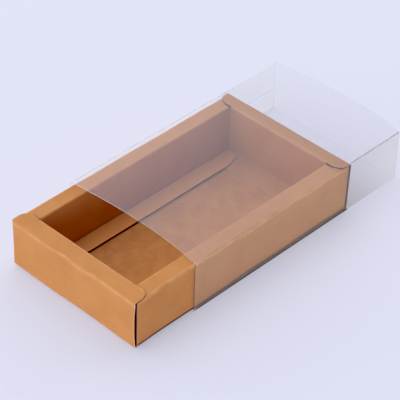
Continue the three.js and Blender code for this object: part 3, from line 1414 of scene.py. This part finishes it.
    def end_inner_wall(self, side: Side) -> None:
        """Makes the inner wall of a short side.

        Args:
            side: The side.
        """
        profile = self.profile(side)
        _, top = profile.crease(TrayFold.INNER_TOP)
        bottom, _ = profile.crease(TrayFold.FLAP_ROOT)
        span = self.end_half_span
        outline = [(-span, top), (span, top), (span, bottom), (-span, bottom)]
        self.side_panel(side, "inner_wall", outline, profile)

    def end_floor_flap(self, side: Side) -> None:
        """Makes the floor flap of a short side, which narrows towards its free edge.

        Args:
            side: The side.
        """
        profile = self.profile(side)
        root, flat = profile.crease(TrayFold.FLAP_ROOT)
        tip = profile.length()
        span = self.end_half_span
        narrow = span - self.end_flap_taper
        outline = [(-span, root), (span, root), (span, flat), (narrow, tip), (-narrow, tip), (-span, flat)]
        self.side_panel(side, "floor_flap", outline, profile)

    def long_side_walls(self, side: Side) -> None:
        """Makes the outer wall, rim and inner wall of a long side.

        Args:
            side: The side.
        """
        profile = self.profile(side)
        _, upright = profile.crease(TrayFold.BOTTOM)
        outer_top, _ = profile.crease(TrayFold.OUTER_TOP)
        _, inner_top = profile.crease(TrayFold.INNER_TOP)
        span = self.wall_half_span
        parts = {
            "outer_wall": (0.0, outer_top),
            "rim": (outer_top, inner_top),
            "inner_wall": (inner_top, profile.length()),
        }
        ear_end = self.open_half_length
        line_end = ear_end - self.ear_line_width
        dark = line_end + self.ear_line_width / 3
        fade = inner_top - self.rim_width + self.ear_radius

        def shade(along: float, distance: float) -> float:
            """Finds how much painted shade darkens the bottom crease: higher up where the film closes it off.

            Args:
                along: The place along the side.
                distance: How far along the sheet.

            Returns:
                The shade, from 0 to 1.
            """
            place = -along if side is Side.LEFT else along
            covered = eased(place, self.film_start - self.board, self.film_start + self.board)
            start = upright + self.under_rise + self.covered_rise * covered
            return self.under_shade * (1 - eased(distance, start, start + self.board))

        def ear_line(along: float, distance: float) -> float:
            """Returns how much painted shadow darkens the line where an ear's straight edge lies on the rim.
            """
            near = eased(abs(along), line_end, dark)
            return self.ear_line_share * near * eased(distance, fade - self.board, fade)

        columns = (-ear_end, -dark, -line_end, line_end, dark, ear_end)
        for part, (low, high) in parts.items():
            outline = [(-span, low), (span, low), (span, high), (-span, high)]
            mask = ear_line if part == "rim" else shade
            self.side_panel(side, part, outline, profile, None, columns, shade=mask)

    def side_floor_flap(self, side: Side, curls: Sequence[Point]) -> None:
        """Makes a long floor flap, which turns on its root and curls up along its free edge.

        Args:
            side: The side.
            curls: Pairs of a place, as a share of half its length, and how far its edge stands up.
        """
        face = self.rim_width - self.half_width
        middle = self.board / 2
        root = face + self.hinge_gap + middle
        tip = face + self.side_flap_width
        level = self.side_flap_bottom + middle
        half = self.open_half_length - self.flap_end_gap
        shoulder = tip - self.side_flap_end_width
        bend = half - self.side_flap_end_length
        radii = (self.side_flap_end_length, self.side_flap_end_width)
        rises = [(share * self.open_half_length, lift) for share, lift in curls]
        right = [(half, root), *arc((bend, shoulder), radii, 0.0, QUARTER)]
        outline = right + [(-u, v) for u, v in reversed(right)]

        def place(along: float, across: float) -> Vector:
            """Finds where a point of the flap goes.

            Args:
                along: The place along the side.
                across: The place across the flap, in the side's own Y.

            Returns:
                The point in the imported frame.
            """
            reach = clamp((across - root) / (tip - root), 0.0, 2.0)
            lift = between(along, rises) * reach**self.curl_power
            return self.placed(side, Vector((along, across, level + lift)))

        line = tip - self.edge_line_width

        def shade(along: float, across: float) -> float:
            """Returns how much painted shade darkens the flap along the straight part of its free edge."""
            straight = 1 - eased(abs(along), bend, bend + self.edge_line_width)
            return self.under_shade * straight * eased(across, line, (line + tip) / 2)

        pitch = self.stock.pitch / 2
        columns = [*steps(-half, half, pitch)[1:-1], -bend, bend]
        rows = [*steps(root, tip, pitch)[1:-1], line, (line + tip) / 2]
        flat = self.flap_stock.blank_mesh(outline, columns, rows)
        offset = self.profile(side).length()
        made = self.flap_stock.panel(
            f"kraft_{side.word}_floor_flap",
            flat,
            place,
            lambda u, v: self.in_blank(side, u, offset + v - root),
            shade=shade,
            # Painted light over the whole flap
            fresh=lambda u, v: self.flap_fresh,
        )
        self.keep(made, f"{side.word}_flap", f"{side.word}_floor_flap")

    def corner_tab(self, side: Side, end: int, corner: str, light: float) -> None:
        """Makes the tab that a long side tucks behind a short one.

        Args:
            side: The long side it is folded from.
            end: Which end of the side, -1 or 1.
            corner: The corner's name.
            light: How much of its crease is left without painted shade, as a share.
        """
        middle = self.board / 2
        wall = middle - self.half_width
        turn = end * (self.half_length - self.tab_face - middle)
        run = self.tab_length - middle
        tip = (turn - end * run * math.sin(self.tab_lean), wall + run * math.cos(self.tab_lean))
        start = end * self.wall_half_span
        profile = Profile(((start, wall), (turn, wall), tip), self.stock.radius)
        low, high = self.fold, self.side_top - self.corner_gap
        crease_start, crease_end = profile.crease(1)
        light_end = light * crease_start
        dark_start = crease_start + light * (crease_end - crease_start)
        length = profile.length()
        taper = self.tab_taper
        outline = [(low, 0.0), (low, crease_end), (low + taper, length)]
        outline += [(high - taper, length), (high, crease_end), (high, 0.0)]

        def place(height: float, distance: float) -> Vector:
            """Returns where a blank point of the tab goes."""
            return self.placed(side, Vector((*profile.at(height, distance), height)))

        pitch = self.stock.pitch
        margin = self.stock.wear_margin
        rows = profile.rows(0.0, length, pitch, margin)
        flat = self.stock.blank_mesh(outline, steps(low, high, pitch)[1:-1], rows)
        made = self.stock.panel(
            f"kraft_{corner}_corner_tab",
            flat,
            place,
            lambda u, v: self.in_blank(side, end * (self.wall_half_span + v), u),
            crease=lambda u, v: profile.wear(v, margin),
            # Painted shade on the tab behind its crease, seen as a dark slit at the corner
            shade=lambda u, v: self.tab_shade * eased(v, light_end, dark_start),
        )
        self.keep(made, "tray", f"{corner}_corner_tab")

    def base(self) -> None:
        """Makes the base panel."""
        wide = self.half_width - self.fold - self.bottom_room
        long = self.half_length - self.fold - self.bottom_room
        outline = [(-wide, -long), (wide, -long), (wide, long), (-wide, long)]
        middle = self.board / 2
        pitch = self.stock.pitch
        columns = steps(-wide, wide, pitch)[1:-1]
        flat = self.stock.blank_mesh(outline, columns, steps(-long, long, pitch)[1:-1])
        made = self.stock.panel(
            "kraft_base_panel",
            flat,
            lambda u, v: self.settled(Vector((u, v, middle))),
            lambda u, v: (u, v),
            mottled=lambda u, v: self.base_mottle,
        )
        self.keep(made, "tray", "base_panel")

    def build(self) -> list[bpy.types.Object]:
        """Makes every panel.

        Returns:
            The pieces.
        """
        self.base()
        self.end_outer_wall(Side.FRONT, self.front_left_cut, self.front_right_cut, self.stock)
        back_cuts = (self.back_left_cut, self.back_right_cut)
        # The back wall: cut edges painted dark as shade, and painted shade on its inner face at the side
        # edges
        self.end_outer_wall(Side.BACK, *back_cuts, self.flap_stock, self.back_lining)
        for side, lifts in ((Side.FRONT, self.front_lifts), (Side.BACK, self.back_lifts)):
            self.end_rim(side, lifts)
            self.end_inner_wall(side)
            self.end_floor_flap(side)
        self.long_side_walls(Side.RIGHT)
        self.long_side_walls(Side.LEFT)
        self.side_floor_flap(Side.RIGHT, self.right_curls)
        self.side_floor_flap(Side.LEFT, self.left_curls)
        self.corner_tab(Side.RIGHT, -1, "front_right", self.front_right_light)
        self.corner_tab(Side.RIGHT, 1, "back_right", self.back_right_light)
        self.corner_tab(Side.LEFT, 1, "front_left", self.left_light)
        self.corner_tab(Side.LEFT, -1, "back_left", self.left_light)
        return self.pieces


@dataclass
class FilmSleeve:
    """The sleeve: one sheet of clear film, creased at four edges and glued at a lap."""

    stock: Stock
    glue_stock: Stock

    # How the film has settled: the top's crown and shoulder, and the waist of its side panels
    peak: float = 0.15
    right_power: float = 2.6
    far_share: float = 0.86
    crown_rise: Point = (0.5, 0.9)
    shoulder: float = 0.55 * MM
    shoulder_width: float = 2 * MM
    shoulder_reach: float = 8 * MM
    shoulder_fade: Point = (0.4, 0.6)
    shoulder_rows: tuple[float, ...] = (0.2, 0.4, 0.7, 1.0, 1.5, 2.5)
    waist: float = 0.1 * MM
    waist_drift: float = 0.25
    waist_run: float = 17 * MM
    waist_power: int = 8

    # Where the looks turn from over the tray to beyond it, as shares of half the length
    tray_reach: Point = (0.49, 0.5)

    # How much the cut edges and the folds show as dark lines, partly painted shade, and the near edge's
    # painted highlight
    loose_edge_share: float = 0.04
    lap_edge_share: float = 0.3
    dash_length: float = 1.3 * MM
    white_start: float = 0.3
    low_fold_share: float = 0.1
    covered_share: float = 0.12

    # The painted shadow where the film lies beside the tray's bottom edge
    contact_inset: float = 4 * MM
    contact_width: float = 1.5 * MM
    contact_full: float = 0.8
    contact_rise: float = 0.6 * MM

    # How much painted shadow greys the film on the floor and in the empty end
    floor_share: float = 0.3
    empty_top_share: float = 0.32
    empty_top_start: float = 0.55
    empty_side_share: float = 0.45
    empty_side_start: float = 0.97
    far_fade: float = 0.4

    # How the glue line's corners are rounded
    glue_radius: float = 1.5 * MM
    glue_steps: int = 6

    def __post_init__(self) -> None:
        """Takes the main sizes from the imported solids."""
        low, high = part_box("sleeve_right_panel")
        _, top_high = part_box("sleeve_top_panel")
        lap_low, lap_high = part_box("sleeve_glue_lap")
        self.half_width = high.x
        self.lap_face = -lap_low.x
        self.lap_width = lap_high.z
        self.height = high.z
        self.crown = top_high.z - high.z
        self.half_length = (high.y - low.y) / 2
        self.middle_y = (high.y + low.y) / 2

    def crowned(self, x: float, y: float) -> float:
        """Finds how far the top stands up above its folds.

        Args:
            x: The place across the sleeve.
            y: The place along it, from its middle.

        Returns:
            The height above the folds.
        """
        place = clamp(x / self.half_width, -1.0, 1.0)
        if place > self.peak:
            share = 1 - ((place - self.peak) / (1 - self.peak)) ** self.right_power
        else:
            share = 1 - ((self.peak - place) / (1 + self.peak)) ** 2
        far = clamp(0.5 + y / (2 * self.half_length))
        from_fold = (1 + place) * self.half_width
        rounded = math.exp(-from_fold / self.shoulder_reach) - math.exp(-from_fold / self.shoulder_width)
        fade_start, fade_end = self.shoulder_fade
        over_tray = 1 - eased(y, fade_start * self.half_length, fade_end * self.half_length)
        crown = self.crown * share * (1 - (1 - self.far_share) * far)
        return crown + self.shoulder * rounded * over_tray

    def settled(self, point: Vector) -> Vector:
        """Moves a point of the ideal sleeve to where the film has settled.

        Args:
            point: The point, from the middle of the sleeve's underside.

        Returns:
            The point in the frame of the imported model.
        """
        x, y, z = point
        rise = clamp(z / self.height)
        across = clamp(abs(x) / self.half_width)
        drift = 1 - self.waist_drift + self.waist_drift * math.sin(y / self.waist_run)
        shift_z = self.crowned(x, y) * eased(rise, *self.crown_rise)
        pull = self.waist * math.sin(math.pi * rise) * drift
        shift_x = -math.copysign(pull, x) * across**self.waist_power
        return Vector((x + shift_x, self.middle_y + y, z + shift_z))

    def profile(self) -> Profile:
        """Draws the sleeve in section, in X and Z.

        Returns:
            The profile, from the lap's free edge round to the left panel's.
        """
        middle = self.stock.thickness / 2
        lap = middle - self.lap_face
        right = self.half_width - middle
        top = self.height - middle
        corners = [(lap, self.lap_width), (lap, middle), (right, middle), (right, top)]
        corners += [(-right, top), (-right, 0.0)]
        return Profile(tuple(corners), self.stock.radius)

    def sheet(self) -> bpy.types.Object:
        """Makes the folded sheet.

        Returns:
            The piece.
        """
        profile = self.profile()
        length = profile.length()
        half = self.half_length
        margin = self.stock.wear_margin
        near = self.stock.cut_margin
        outline = [(-half, 0.0), (half, 0.0), (half, length), (-half, length)]
        lap_end, low_start = profile.crease(SleeveFold.LOW_LEFT)
        low_end, right_start = profile.crease(SleeveFold.LOW_RIGHT)
        right_end, top_start = profile.crease(SleeveFold.TOP_RIGHT)
        top_end, left_start = profile.crease(SleeveFold.TOP_LEFT)
        tray_end, board_end = (share * half for share in self.tray_reach)
        columns = [*steps(-half, half, self.stock.pitch)[1:-1], near - half, half - near, tray_end, board_end]
        rows = profile.rows(0.0, length, self.stock.pitch, margin)
        contact_start = low_end - self.contact_width
        contact_full = low_end - self.contact_full * self.contact_width
        rise_end = right_start + self.contact_rise
        rise_top = rise_end + self.contact_rise / 2
        rows += [near, length - near, contact_start, contact_full, rise_end, rise_top]
        rows += [top_end - share * self.shoulder_width for share in self.shoulder_rows]
        flat = self.stock.blank_mesh(outline, columns, rows)

        def place(along: float, distance: float) -> Vector:
            """Returns where a point of the flat film goes."""
            x, z = profile.at(along, distance)
            return self.settled(Vector((x, along, z)))

        def cut(along: float, distance: float) -> float:
            """Finds how much a cut edge shows: most where the right panel lies on the board, as a painted
            shadow line.

            Args:
                along: The place along the sleeve.
                distance: How far along the sheet.

            Returns:
                The share that shows, from 0 to 1.
            """
            away = min(half - abs(along), distance, length - distance)
            share = self.loose_edge_share
            if along < 0 and right_start < distance < right_end:
                share = 1.0
            elif distance < near:
                share = self.lap_edge_share * (0.5 + 0.5 * math.sin(along / self.dash_length))
            return share * (1 - clamp(away / near))

        def contact(along: float, distance: float) -> float:
            """Finds how much painted shadow darkens the film where it lies beside the tray's bottom right
            edge.

            Args:
                along: The place along the sleeve.
                distance: How far along the sheet.

            Returns:
                The painted shadow, from 0 to 1.
            """
            inset_end = self.contact_inset - half
            across = eased(distance, contact_start, contact_full) - eased(distance, rise_end, rise_top)
            return across * (eased(along, -half, inset_end) - eased(along, tray_end, board_end))

        def crease(along: float, distance: float) -> float:
            """Finds how much a fold's dark line shows, partly painted shade that stands in for what the fold
            bends and reflects.

            Args:
                along: The place along the sleeve.
                distance: How far along the sheet.

            Returns:
                The share that shows: little on the floor, most on the right beyond the tray.
            """
            beyond = eased(along, tray_end, board_end)
            if distance < right_end - margin:
                share = self.low_fold_share
            elif distance < (top_start + top_end) / 2:
                share = self.covered_share + (1 - self.covered_share) * beyond
            else:
                share = 1 - (1 - self.covered_share) * beyond
            return share * profile.wear(distance, margin)

        def white(along: float, distance: float) -> float:
            """Finds how much painted highlight the top's near edge has, more towards the left.

            Args:
                along: The place along the sleeve.
                distance: How far along the sheet.

            Returns:
                The painted highlight, from 0 to 1.
            """
            on_top = top_start < distance < top_end
            share = between(distance, ((top_start, self.white_start), (top_end, 1.0)))
            return (1 - clamp((half + along) / near)) * share * on_top

        def worn(along: float, distance: float) -> float:
            """Returns 1 on the top, which is handled most, and 0 on the other panels."""
            return eased(distance, right_end, top_start) - eased(distance, top_end, left_start)

        def grounded(along: float, distance: float) -> float:
            """Finds how much painted shadow greys the film: a little on the floor, and in the empty end.

            Args:
                along: The place along the sleeve.
                distance: How far along the sheet.

            Returns:
                The painted shadow, from 0 to 1.
            """
            if low_start < distance < low_end:
                return self.floor_share * (1 - eased(abs(along), board_end, half))
            fade = 1 - self.far_fade * eased(along, board_end, half)
            if right_start < distance < right_end:
                return self.empty_side_share * fade * eased(along, self.empty_side_start * tray_end, tray_end)
            empty = eased(along, self.empty_top_start * tray_end, board_end)
            return self.empty_top_share * fade * empty * worn(along, distance)

        made = self.stock.panel(
            "film_sleeve",
            flat,
            place,
            lambda u, v: (u, v),
            crease=crease,
            cut=cut,
            contact=contact,
            white=white,
            worn=worn,
            joined=lambda u, v: float(v < lap_end or low_start < v < low_end),
            grounded=grounded,
        )
        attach(made, "sleeve")
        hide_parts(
            "sleeve_top_panel",
            "sleeve_bottom_panel",
            "sleeve_right_panel",
            "sleeve_left_panel",
            "sleeve_glue_lap",
        )
        return made

    def glue(self) -> bpy.types.Object:
        """Makes the glue line between the lap and the left panel.

        Returns:
            The piece.
        """
        low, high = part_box("sleeve_seam_glue")
        half = (high.y - low.y) / 2
        middle = (low.x + high.x) / 2
        radius, count = self.glue_radius, self.glue_steps
        right = arc((half - radius, low.z + radius), (radius, radius), -QUARTER, 0.0, count)
        right += arc((half - radius, high.z - radius), (radius, radius), 0.0, QUARTER, count)
        outline = right + [(-u, v) for u, v in reversed(right)]
        pitch = self.glue_stock.pitch
        columns = steps(-half, half, pitch)[1:-1]
        flat = self.glue_stock.blank_mesh(outline, columns, steps(low.z, high.z, pitch)[1:-1])
        made = self.glue_stock.panel(
            "film_seam_glue",
            flat,
            lambda u, v: self.settled(Vector((middle, u, v))),
            lambda u, v: (u, v),
        )
        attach(made, "sleeve")
        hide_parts("sleeve_seam_glue")
        return made

    def build(self) -> list[bpy.types.Object]:
        """Makes the sheet and its glue line.

        Returns:
            The pieces.
        """
        return [self.sheet(), self.glue()]


@dataclass
class Studio:
    """A pale floor, soft light and the camera of the photograph."""

    # The camera, whose aim is measured in its own right and up directions
    azimuth: float = math.radians(43.3082)
    elevation: float = math.radians(38.7601)
    roll: float = math.radians(1.7136)
    distance: float = 1.05066
    aim: Point = (8.46 * MM, 18.87 * MM)
    lens: float = 178.55
    sensor_width: float = 36.0
    nearest: float = 0.01

    # The floor
    floor_radius: float = 6.0
    floor_sides: int = 96
    floor_drop: float = 0.05 * MM

    # The air: the flag's span is by how nearly a ray goes towards it, the horizon's by its height
    air: Colour = (0.97, 1.0, 1.08)
    air_strength: float = 1.3
    horizon_strength: float = 2.1
    horizon_span: Point = (0.08, 0.3)
    flag_direction: Triple = (0.785, -0.069, 0.616)
    flag_span: Point = (0.5, 0.9)

    # The key light
    key_direction: Triple = (-0.25, 0.1, 0.96)
    key_distance: float = 1.2
    key_size: float = 0.9
    key_power: float = 1.7
    key_tone: Colour = (1.0, 0.985, 0.97)

    # How the picture is developed, and how many layers of film a ray may pass
    black_level: Colour = (0.02, 0.02, 0.012)
    film_layers: int = 32

    def camera(self, target: Vector) -> None:
        """Sets up the camera.

        Args:
            target: The middle of the tray's underside, which the aim is measured from.
        """
        flat_share = math.cos(self.elevation)
        aside = math.sin(self.azimuth) * flat_share
        ahead = -math.cos(self.azimuth) * flat_share
        back = Vector((aside, ahead, math.sin(self.elevation)))
        level = Vector((math.cos(self.azimuth), math.sin(self.azimuth), 0.0))
        upright = back.cross(level)
        cosine, sine = math.cos(self.roll), math.sin(self.roll)
        right = cosine * level + sine * upright
        up = cosine * upright - sine * level
        eye = target + right * self.aim[0] + up * self.aim[1] + back * self.distance
        data = bpy.data.cameras.new("photo_view")
        data.lens = self.lens
        data.sensor_width = self.sensor_width
        data.clip_start = self.nearest
        camera = bpy.data.objects.new("photo_view", data)
        camera.matrix_world = Matrix.Translation(eye) @ Matrix((right, up, back)).transposed().to_4x4()
        bpy.context.scene.collection.objects.link(camera)
        bpy.context.scene.camera = camera

    def floor(self) -> None:
        """Lays the floor, a wide disc a hair below the sleeve's underside, so that the two don't mix."""
        mesh = bmesh.new()
        sizes = {"radius": self.floor_radius, "segments": self.floor_sides}
        bmesh.ops.create_circle(mesh, cap_ends=True, cap_tris=True, **sizes)
        data = bpy.data.meshes.new("studio_floor")
        mesh.to_mesh(data)
        mesh.free()
        data.materials.append(SweepFinish().material())
        floor = bpy.data.objects.new("studio_floor", data)
        floor.location.z = -self.floor_drop
        bpy.context.scene.collection.objects.link(floor)

    def world(self) -> None:
        """Fills the air with soft light, brightest near the horizon, with a dark flag on the right."""
        world = bpy.data.worlds.new("studio_air")
        graph = ShaderGraph(world)
        direction = graph.signal("ShaderNodeTexCoord", "Generated")
        height = graph.signal("ShaderNodeSeparateXYZ", "Z", None, {0: direction})
        inputs = {0: direction, 1: self.flag_direction}
        flag = graph.signal("ShaderNodeVectorMath", "Value", {"operation": "DOT_PRODUCT"}, inputs)
        open_air = (1 - graph.rise(flag, *self.flag_span)) * self.air_strength
        strength = open_air + (1 - graph.rise(height, *self.horizon_span)) * self.horizon_strength
        air = graph.signal("ShaderNodeBackground", 0, None, {"Color": self.air, "Strength": strength})
        graph.node("ShaderNodeOutputWorld", None, {"Surface": air})
        bpy.context.scene.world = world
        bpy.context.scene.cycles.transparent_max_bounces = self.film_layers

    def key_light(self, target: Vector) -> None:
        """Hangs the large soft key light overhead, a little to the left.

        Args:
            target: The middle of the tray's underside, which the light faces.
        """
        data = bpy.data.lights.new("key_softbox", "AREA")
        data.shape = "SQUARE"
        data.size = self.key_size
        data.energy = self.key_power
        data.color = self.key_tone
        light = bpy.data.objects.new("key_softbox", data)
        towards = Vector(self.key_direction).normalized()
        light.location = target + towards * self.key_distance
        light.rotation_mode = "QUATERNION"
        light.rotation_quaternion = (-towards).to_track_quat("-Z", "Y")
        bpy.context.scene.collection.objects.link(light)

    def build(self, target: Vector) -> None:
        """Sets up the camera, floor and light round the tray.

        Args:
            target: The middle of the tray's underside.
        """
        self.camera(target)
        self.floor()
        self.world()
        self.key_light(target)
        develop = bpy.context.scene.view_settings
        develop.view_transform = "Standard"
        develop.use_curve_mapping = True
        develop.curve_mapping.black_level = self.black_level
        develop.curve_mapping.update()


def main() -> None:
    """Builds the tray, the sleeve and the studio, and reports each piece."""
    logging.basicConfig(level=logging.INFO, format="%(message)s")
    kraft = KraftFinish().material()
    pale_edge = CutEdgeFinish().material()
    dark_edge = ShadedEdgeFinish().material()
    board = Stock(BOARD_THICKNESS, BEND_RADIUS, kraft, pale_edge, "kraft_board")
    # Cut edges painted dark as shade, for ears, floor flaps and the back wall
    flap_board = Stock(BOARD_THICKNESS, BEND_RADIUS, kraft, dark_edge, "kraft_board")
    film_face = FilmFinish().material()
    film_edge = FilmEdgeFinish().material()
    margin = FILM_CREASE_MARGIN
    film = Stock(FILM_THICKNESS, BEND_RADIUS, film_face, film_edge, "clear_film", wear_margin=margin)
    glue_face = GlueFinish().material()
    glue = Stock(GLUE_THICKNESS, BEND_RADIUS, glue_face, glue_face, "clear_glue")
    tray = Tray(board, flap_board)
    sleeve = FilmSleeve(film, glue)
    for piece in [*tray.build(), *sleeve.build()]:
        LOG.info("made %s with %d faces", piece.name, len(piece.data.polygons))
    Studio().build(tray.origin)


if __name__ == "__main__":
    main()
